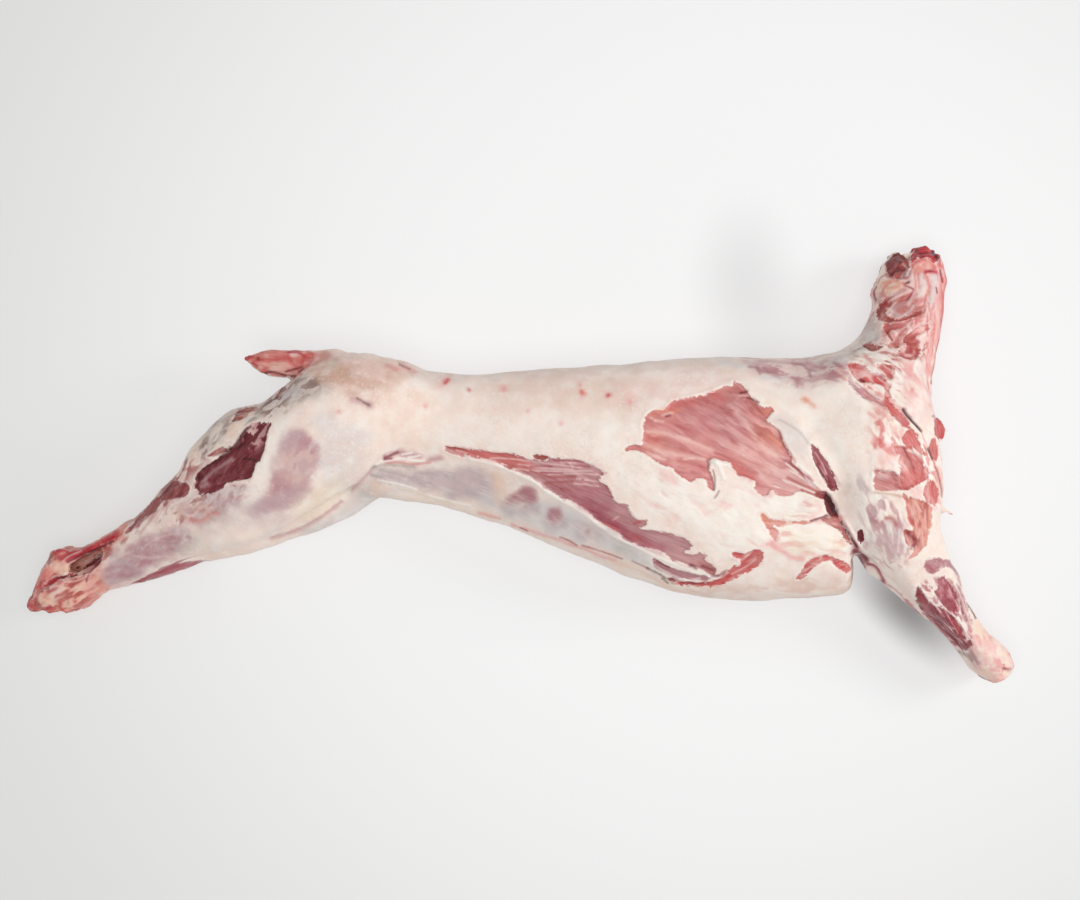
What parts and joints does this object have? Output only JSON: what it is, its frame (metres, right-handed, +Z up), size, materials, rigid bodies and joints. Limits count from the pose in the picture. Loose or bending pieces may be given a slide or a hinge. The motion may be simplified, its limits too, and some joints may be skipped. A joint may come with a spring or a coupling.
{
  "type": "raw whole goat carcass",
  "caption": "Skinned raw carcass lying on its side: trunk with an opened belly, neck stub bent back, tail stub, forelegs cut at the knee and hind legs cut below the hock.",
  "frame": {"origin": "middle of the footprint, on the surface that the carcass lies on", "axes": "+X from the hocks towards the neck, +Y from the belly towards the back, +Z up, out of the side that shows"},
  "size_m": [1.1146, 0.4916, 0.1695],
  "materials": {
    "raw_meat": "moist fat and bare red meat"
  },
  "bodies": {
    "root": {"carcass": "raw_meat"}
  },
  "joints": []
}
